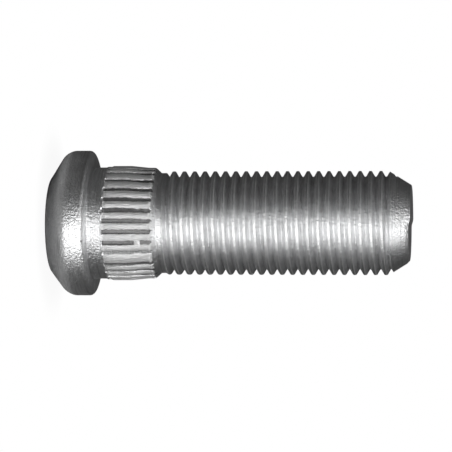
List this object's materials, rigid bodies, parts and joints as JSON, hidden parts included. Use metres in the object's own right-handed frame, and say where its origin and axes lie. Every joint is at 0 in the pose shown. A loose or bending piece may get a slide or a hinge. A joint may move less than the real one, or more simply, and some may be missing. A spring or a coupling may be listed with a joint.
{
  "type": "wheel bolt",
  "caption": "Press-in wheel bolt: a bevelled round head with a flat seat, a serrated shank that is pressed into a hub flange, and a right-hand threaded end for a wheel nut.",
  "frame": {"origin": "middle of the flat seat under the head, where the bolt meets the back of the hub flange", "axes": "+Z along the bolt's axis, from the head towards the threaded end; +X and +Y are square to it and alike"},
  "size_m": [0.0178, 0.0178, 0.0442],
  "materials": {
    "steel": "bare forged and rolled steel, dull grey with a satin gloss"
  },
  "bodies": {
    "root": {"wheel_bolt": "steel"}
  },
  "joints": []
}
